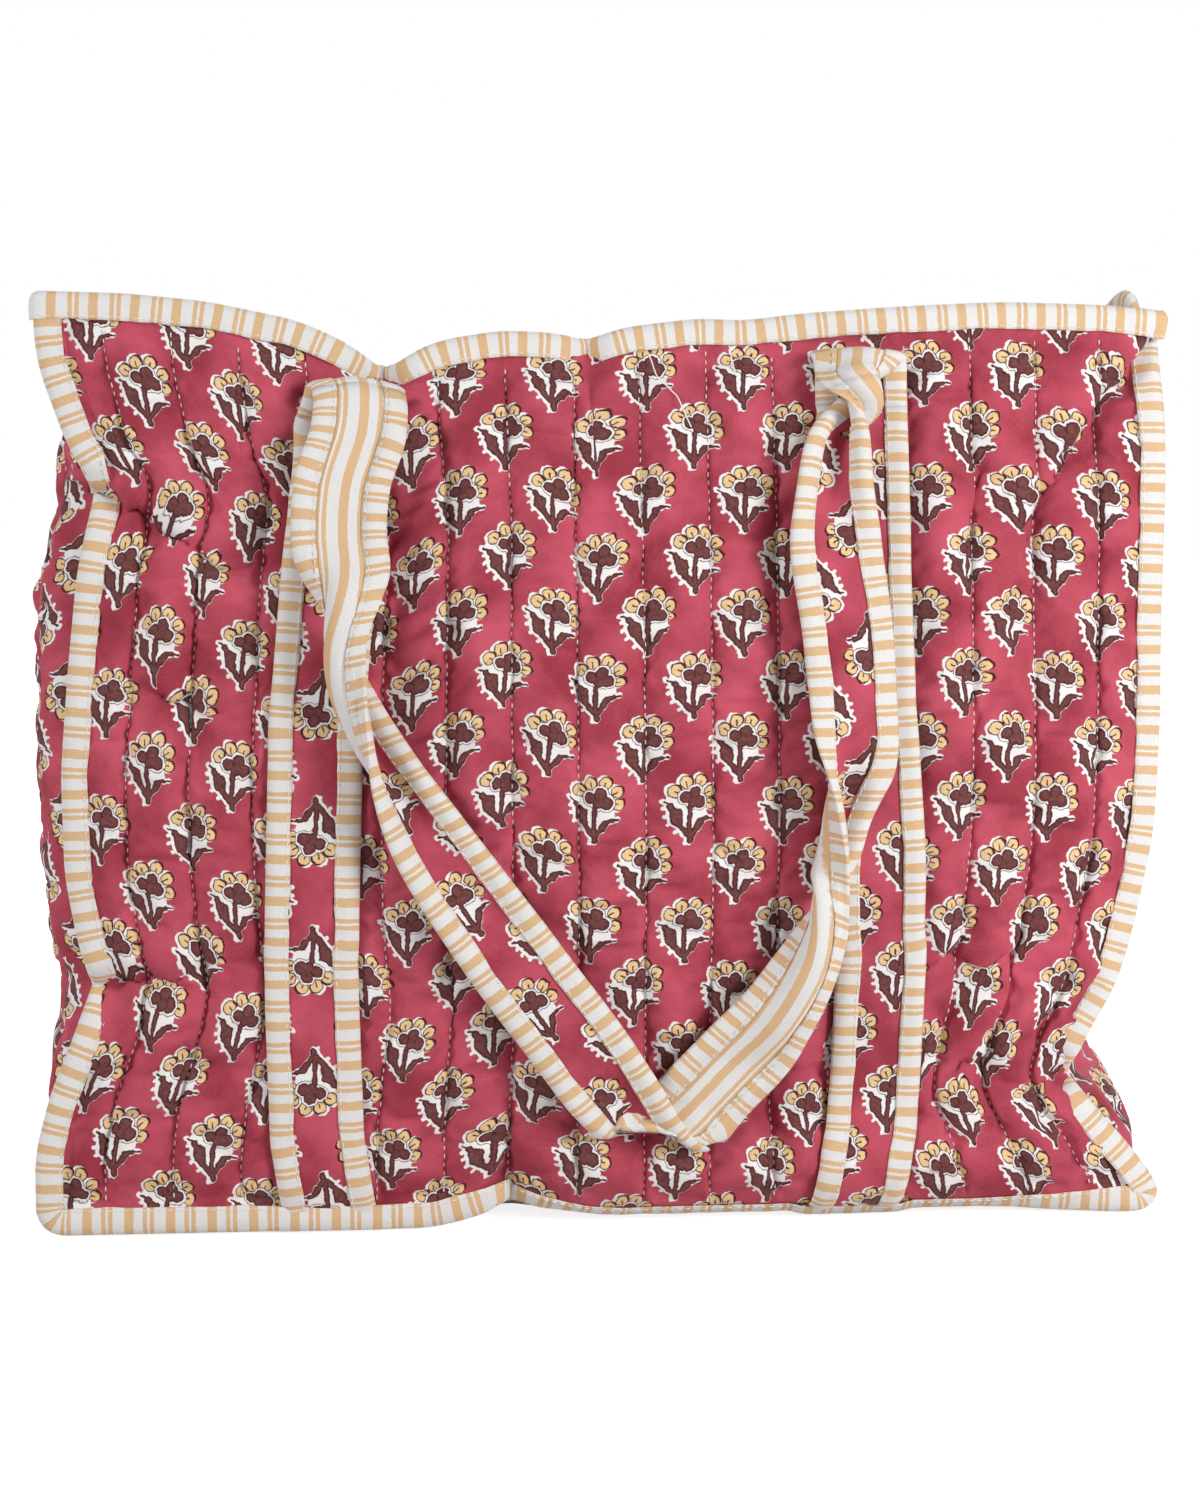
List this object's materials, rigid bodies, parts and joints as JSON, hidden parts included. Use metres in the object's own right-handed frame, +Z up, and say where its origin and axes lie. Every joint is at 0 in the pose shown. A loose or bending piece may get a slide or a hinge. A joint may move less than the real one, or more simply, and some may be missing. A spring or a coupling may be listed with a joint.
{
  "type": "tote bag",
  "caption": "Open-topped quilted cotton tote bag with printed panels, a wrap-around gusset, striped bound seams and bound strap handles that swing up for carrying.",
  "frame": {"origin": "middle of the flat underside of the bag's base", "axes": "+Z up, +X towards the bag's right side as its front is looked at, +Y towards its back"},
  "size_m": [0.4587, 0.1672, 0.3714],
  "materials": {
    "printed_cotton": "matte plain-weave cotton, rose ground with a repeating ochre and brown flower sprig",
    "striped_cotton": "matte plain-weave cotton, off-white with ochre stripes",
    "cotton_wadding": "soft matte cotton wadding"
  },
  "bodies": {
    "bag": {"front_outer_cloth": "printed_cotton", "front_wadding": "cotton_wadding", "front_lining": "striped_cotton", "back_outer_cloth": "printed_cotton", "back_wadding": "cotton_wadding", "back_lining": "striped_cotton", "gusset_outer_cloth": "printed_cotton", "gusset_wadding": "cotton_wadding", "gusset_lining": "striped_cotton", "front_seam_binding": "striped_cotton", "back_seam_binding": "striped_cotton", "mouth_binding_front": "striped_cotton", "mouth_binding_back": "striped_cotton", "mouth_binding_left": "striped_cotton", "mouth_binding_right": "striped_cotton", "front_handle_left_tail_printed_strip": "printed_cotton", "front_handle_left_tail_striped_strip": "striped_cotton", "front_handle_left_tail_left_edge_binding": "striped_cotton", "front_handle_left_tail_right_edge_binding": "striped_cotton", "front_handle_right_tail_printed_strip": "printed_cotton", "front_handle_right_tail_striped_strip": "striped_cotton", "front_handle_right_tail_left_edge_binding": "striped_cotton", "front_handle_right_tail_right_edge_binding": "striped_cotton", "back_handle_left_tail_printed_strip": "printed_cotton", "back_handle_left_tail_striped_strip": "striped_cotton", "back_handle_left_tail_left_edge_binding": "striped_cotton", "back_handle_left_tail_right_edge_binding": "striped_cotton", "back_handle_right_tail_printed_strip": "printed_cotton", "back_handle_right_tail_striped_strip": "striped_cotton", "back_handle_right_tail_left_edge_binding": "striped_cotton", "back_handle_right_tail_right_edge_binding": "striped_cotton"},
    "front_handle": {"front_handle_loop_printed_strip": "printed_cotton", "front_handle_loop_striped_strip": "striped_cotton", "front_handle_loop_left_edge_binding": "striped_cotton", "front_handle_loop_right_edge_binding": "striped_cotton"},
    "back_handle": {"back_handle_loop_printed_strip": "printed_cotton", "back_handle_loop_striped_strip": "striped_cotton", "back_handle_loop_left_edge_binding": "striped_cotton", "back_handle_loop_right_edge_binding": "striped_cotton"}
  },
  "joints": [
    {"name": "front_handle_swing", "type": "hinge", "parent": "bag", "child": "front_handle", "pos_m": [0, -0.05786, 0.336], "axis": [-1, 0, 0], "range_deg": [0, 180]},
    {"name": "back_handle_swing", "type": "hinge", "parent": "bag", "child": "back_handle", "pos_m": [0, 0.05786, 0.336], "axis": [1, 0, 0], "range_deg": [0, 180]}
  ]
}
